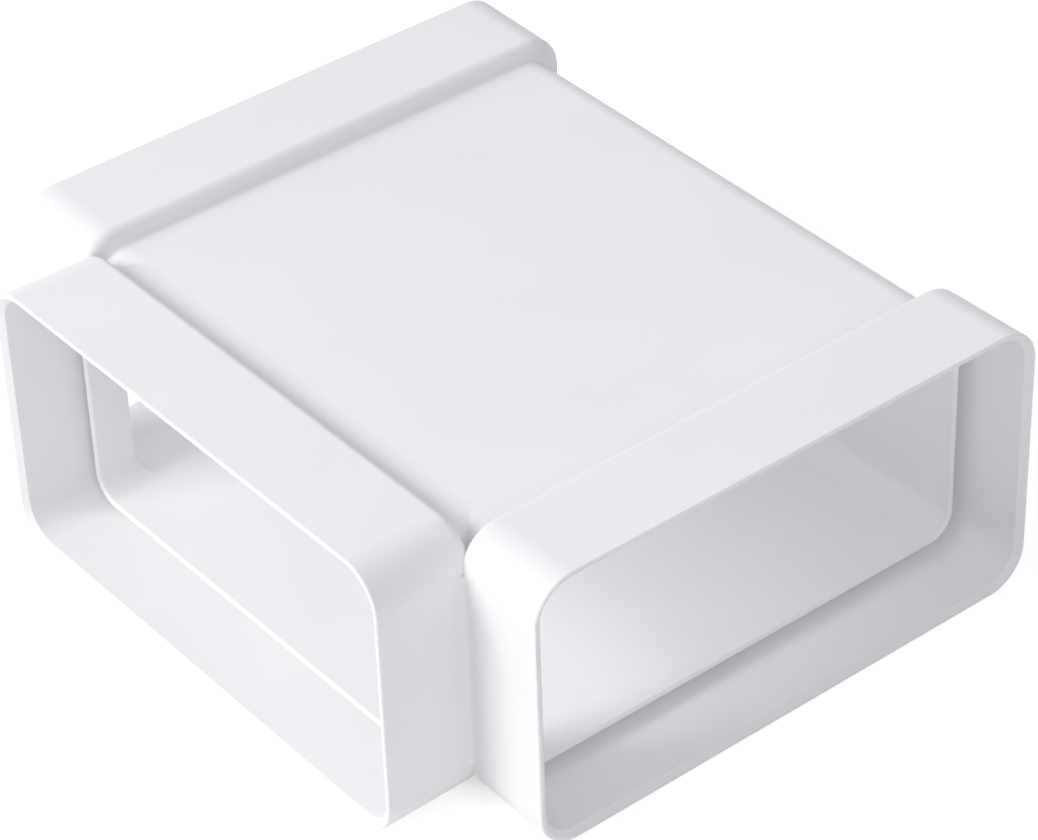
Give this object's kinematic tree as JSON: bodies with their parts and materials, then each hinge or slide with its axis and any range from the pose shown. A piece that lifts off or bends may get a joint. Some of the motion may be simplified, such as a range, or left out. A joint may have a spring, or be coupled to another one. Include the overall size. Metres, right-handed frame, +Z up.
{
  "type": "flat duct tee",
  "caption": "Flat rectangular duct tee in white plastic: a straight run with a side branch, each end a stepped-out socket with a lead-in and a slot for the duct's wall round the body's thin end.",
  "frame": {"origin": "middle of the floor rectangle that the tee takes up, at the level of the sockets' lowest edges", "axes": "+Y along the straight run, -X out of the branch mouth, +Z up out of the broad face"},
  "size_m": [0.1321, 0.152, 0.0582],
  "materials": {
    "white_plastic": "smooth satin moulded white"
  },
  "bodies": {
    "root": {"duct_tee": "white_plastic"}
  },
  "joints": []
}
